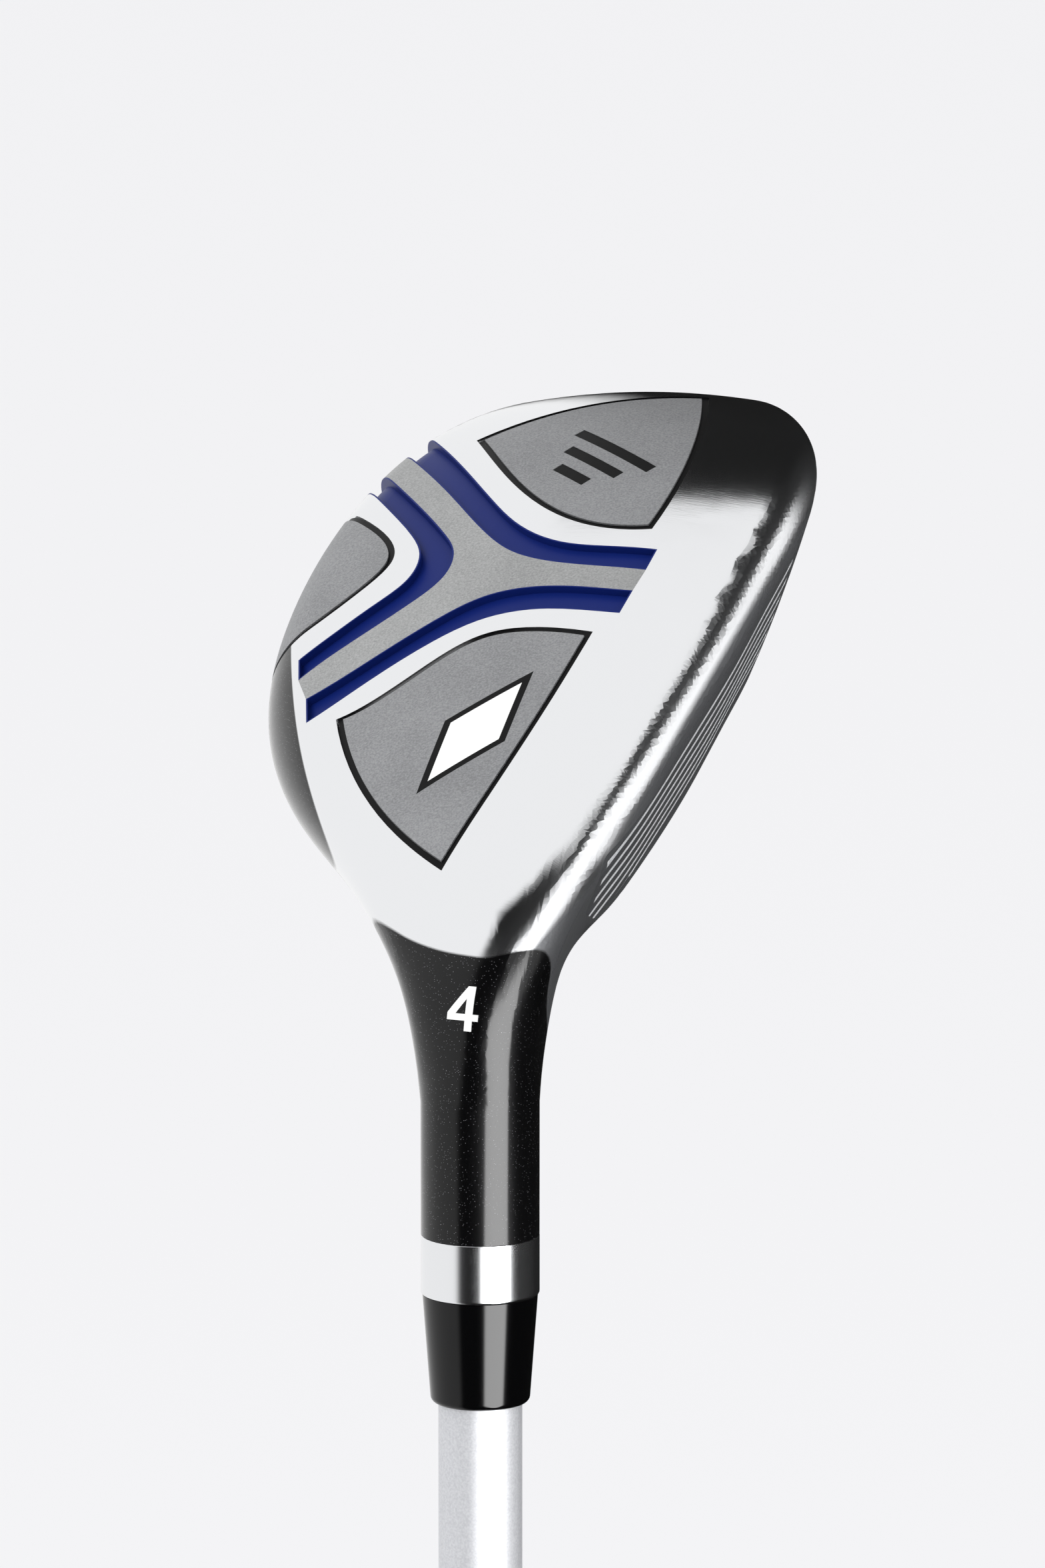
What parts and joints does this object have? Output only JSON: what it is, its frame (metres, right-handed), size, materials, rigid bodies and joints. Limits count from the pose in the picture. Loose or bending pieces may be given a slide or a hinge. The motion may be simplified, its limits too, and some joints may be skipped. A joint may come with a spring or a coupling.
{
  "type": "hybrid golf club",
  "caption": "Right-handed hybrid golf club: hollow lofted head with inlaid sole plates, bonded neck, trim ring, ferrule, tapered shaft and rubber grip.",
  "frame": {"origin": "centre of the grip cap's flat outer face, at the mouth of the vent hole", "axes": "+Z along the shaft from grip to head; +X towards the target, the way the face looks; +Y from the shaft towards the toe"},
  "size_m": [0.0618, 0.1042, 0.9042],
  "materials": {
    "head_body": "cast stainless steel: polished and brushed sole, black metallic paint on neck and crown side",
    "crown_plate": "gloss black lacquer",
    "face_plate": "sand-blasted, score lines bare",
    "toe_badge": "bead-blasted, grey",
    "heel_badge": "bead-blasted, grey",
    "back_badge": "bead-blasted, grey",
    "land_inlay": "bead-blasted, light grey",
    "toe_badge_enamel": "black enamel fill",
    "heel_badge_enamel": "black enamel fill",
    "back_badge_enamel": "black enamel fill",
    "toe_channel_enamel": "blue enamel",
    "heel_channel_enamel": "blue enamel",
    "back_channel_enamel": "blue enamel",
    "toe_motif": "black enamel",
    "heel_motif": "white enamel",
    "heel_motif_edge": "black enamel",
    "neck_numeral": "white pad print",
    "trim_ring": "turned and polished",
    "ferrule": "turned and buffed",
    "shaft": "silver pearl paint over carbon-fibre composite",
    "hosel_epoxy": "cured adhesive",
    "tip_weight": "turned",
    "grip": "moulded, matt",
    "grip_tape": "paper tape",
    "grip_cap": "moulded, matt, harder"
  },
  "bodies": {
    "root": {"head_body": "head_body", "crown_plate": "crown_plate", "face_plate": "face_plate", "toe_badge": "toe_badge", "heel_badge": "heel_badge", "back_badge": "back_badge", "land_inlay": "land_inlay", "toe_badge_enamel": "toe_badge_enamel", "heel_badge_enamel": "heel_badge_enamel", "back_badge_enamel": "back_badge_enamel", "toe_channel_enamel": "toe_channel_enamel", "heel_channel_enamel": "heel_channel_enamel", "back_channel_enamel": "back_channel_enamel", "toe_motif": "toe_motif", "heel_motif": "heel_motif", "heel_motif_edge": "heel_motif_edge", "neck_numeral": "neck_numeral", "trim_ring": "trim_ring", "ferrule": "ferrule", "shaft": "shaft", "hosel_epoxy": "hosel_epoxy", "tip_weight": "tip_weight", "grip": "grip", "grip_tape": "grip_tape", "grip_cap": "grip_cap"}
  },
  "joints": []
}
